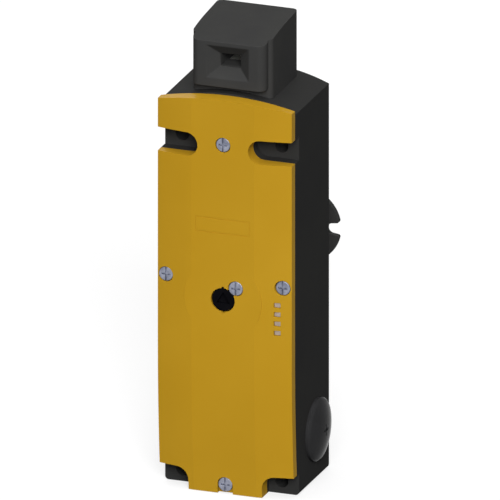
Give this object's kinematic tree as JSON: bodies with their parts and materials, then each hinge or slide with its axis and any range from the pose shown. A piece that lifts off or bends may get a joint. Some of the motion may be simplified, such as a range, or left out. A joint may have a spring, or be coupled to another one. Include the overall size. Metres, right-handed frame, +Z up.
{
  "type": "tongue interlock switch",
  "caption": "Guard-door tongue interlock switch with locking solenoid, bowed yellow cover, turnable black head and a rear escape release knob.",
  "frame": {"origin": "centre of the four mounting holes, on the back mounting face", "axes": "+X to the right seen from the front, +Y out of the back face, +Z up towards the head"},
  "size_m": [0.0624, 0.0907, 0.1848],
  "materials": {
    "black_plastic": "moulded glass-filled polyamide, fine texture",
    "yellow_plastic": "moulded, satin",
    "black_metal": "die cast, black coated",
    "cam_metal": "sintered steel, darkened",
    "rubber": "nitrile rubber",
    "zinc_steel": "zinc plated",
    "bright_steel": "turned or ground",
    "spring_steel": "drawn wire",
    "brass": "stamped",
    "copper": "enamelled winding wire",
    "light_guide": "clear moulded, frosted face",
    "circuit_board": "solder mask",
    "grey_plastic": "moulded",
    "bearing_plastic": "acetal",
    "plug_plastic": "moulded, semi gloss",
    "knob_plastic": "moulded"
  },
  "bodies": {
    "switch": {"housing": "black_plastic", "cover": "yellow_plastic", "cover_gasket": "rubber", "cover_screws": "zinc_steel", "release_securing_screw": "zinc_steel", "indicator_windows": "light_guide", "indicator_board": "circuit_board", "indicator_lamps": "light_guide", "head_body": "black_metal", "head_nose": "black_metal", "head_seal": "rubber", "head_locking_fork": "zinc_steel", "cam_axle": "bright_steel", "plunger_guide": "bearing_plastic", "plunger_spring": "spring_steel", "contact_block": "grey_plastic", "fixed_contacts": "brass", "contact_screws": "zinc_steel", "solenoid_yoke": "zinc_steel", "coil_bobbin": "bearing_plastic", "coil_winding": "copper", "pole_piece": "bright_steel", "armature_spring": "spring_steel", "lock_bracket": "zinc_steel", "pawl_pin": "bright_steel", "terminal_block": "grey_plastic", "terminal_screws": "zinc_steel", "entry_plug_right": "plug_plastic", "entry_plug_left": "plug_plastic", "entry_plug_seals": "rubber", "release_bush": "bearing_plastic", "release_shaft_seal": "rubber"},
    "cam": {"cam_wheel": "cam_metal"},
    "plunger": {"plunger": "bright_steel", "contact_carrier": "bearing_plastic", "contact_bridges": "brass"},
    "release": {"release_shaft": "bright_steel", "release_rotor": "plug_plastic", "release_cam": "bright_steel", "shaft_clip": "spring_steel", "escape_knob": "knob_plastic", "knob_screw": "zinc_steel", "rotor_seal": "rubber"},
    "lock_slide": {"lock_plate": "zinc_steel", "armature": "bright_steel"},
    "pawl": {"lock_pawl": "bright_steel"}
  },
  "joints": [
    {"name": "cam_turn", "type": "hinge", "parent": "switch", "child": "cam", "pos_m": [0, -0.01875, 0.093], "axis": [-1, 0, 0], "range_deg": [0, 50]},
    {"name": "plunger_slide", "type": "slide", "parent": "switch", "child": "plunger", "axis": [0, 0, 1], "range_m": [0, 0.0036], "deforming": ["plunger_spring"]},
    {"name": "release_turn", "type": "hinge", "parent": "switch", "child": "release", "pos_m": [0, 0, 0.0064], "axis": [0, -1, 0], "range_deg": [0, 90]},
    {"name": "lock_slide", "type": "slide", "parent": "switch", "child": "lock_slide", "axis": [0, 0, -1], "range_m": [0, 0.0025], "deforming": ["armature_spring"]},
    {"name": "pawl_swing", "type": "hinge", "parent": "switch", "child": "pawl", "pos_m": [0, -0.02875, 0.0165], "axis": [-1, 0, 0], "range_deg": [0, 14.32]}
  ],
  "couplings": [
    {"joint": "cam_turn", "follows": "plunger_slide", "rad_per_m": 242.41},
    {"joint": "release_turn", "follows": "lock_slide", "rad_per_m": 628.32},
    {"joint": "pawl_swing", "follows": "lock_slide", "rad_per_m": 100}
  ]
}
